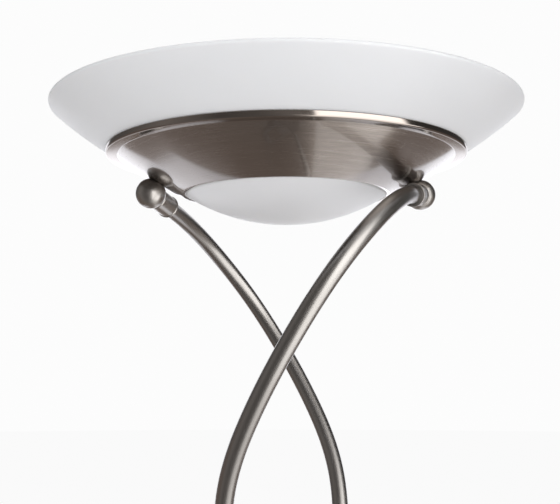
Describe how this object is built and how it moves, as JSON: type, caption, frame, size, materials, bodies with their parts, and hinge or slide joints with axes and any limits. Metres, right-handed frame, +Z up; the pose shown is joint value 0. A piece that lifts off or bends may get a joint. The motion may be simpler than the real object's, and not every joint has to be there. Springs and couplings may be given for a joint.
{
  "type": "torchiere floor lamp",
  "caption": "Floor lamp with a wide opal glass dish in a shallow metal bowl, a small glass dome below it, twin entwined tube stems on ball joints and a round weighted base with a dimmer knob.",
  "frame": {"origin": "centre of the underside of the round base", "axes": "+Z up along the lamp's axis, -Y towards the front, where the dimmer knob is, +X to the right ball joint"},
  "size_m": [0.42, 0.42, 1.83],
  "materials": {
    "satin_metal": "brushed satin nickel",
    "zinc_steel": "zinc plated",
    "opal_glass": "opal white, satin",
    "clear_glass": "clear quartz",
    "ceramic": "white ceramic",
    "brass": "plain",
    "cast_iron": "black painted casting",
    "felt": "black felt",
    "black_plastic": "matt black",
    "silicone": "white silicone",
    "lead_sleeve": "glass-fibre sleeve"
  },
  "bodies": {
    "lamp": {"base_pad": "felt", "base_weight": "cast_iron", "base_cover": "satin_metal", "socket_right": "satin_metal", "socket_left": "satin_metal", "socket_bolts": "zinc_steel", "socket_washers": "zinc_steel", "inlet_bush": "black_plastic", "dimmer_body": "black_plastic", "dimmer_nut": "zinc_steel", "arm_right": "satin_metal", "arm_left": "satin_metal", "collar_right": "satin_metal", "collar_left": "satin_metal", "ball_right": "satin_metal", "ball_left": "satin_metal", "stud_right": "zinc_steel", "stud_left": "zinc_steel", "stud_washers": "zinc_steel", "stud_nuts": "zinc_steel", "bowl_ring": "satin_metal", "dish_gasket": "silicone", "glass_dome": "opal_glass", "crossbar": "zinc_steel", "lampholder_right": "ceramic", "lampholder_left": "ceramic", "holder_screws": "zinc_steel", "lamp_contacts": "brass", "halogen_lamp": "clear_glass", "lamp_caps": "ceramic", "terminal_block": "ceramic", "earth_screw": "brass", "head_leads": "lead_sleeve"},
    "dish": {"glass_dish": "opal_glass"},
    "knob": {"dimmer_knob": "satin_metal", "dimmer_spindle": "zinc_steel"}
  },
  "joints": [
    {"name": "dimmer_turn", "type": "hinge", "parent": "lamp", "child": "knob", "pos_m": [0, -0.046, 0.033], "axis": [0, 0, -1], "range_deg": [0, 300]},
    {"name": "dish_lift", "type": "slide", "parent": "lamp", "child": "dish", "axis": [0, 0, 1], "range_m": [0, 0.06]}
  ]
}
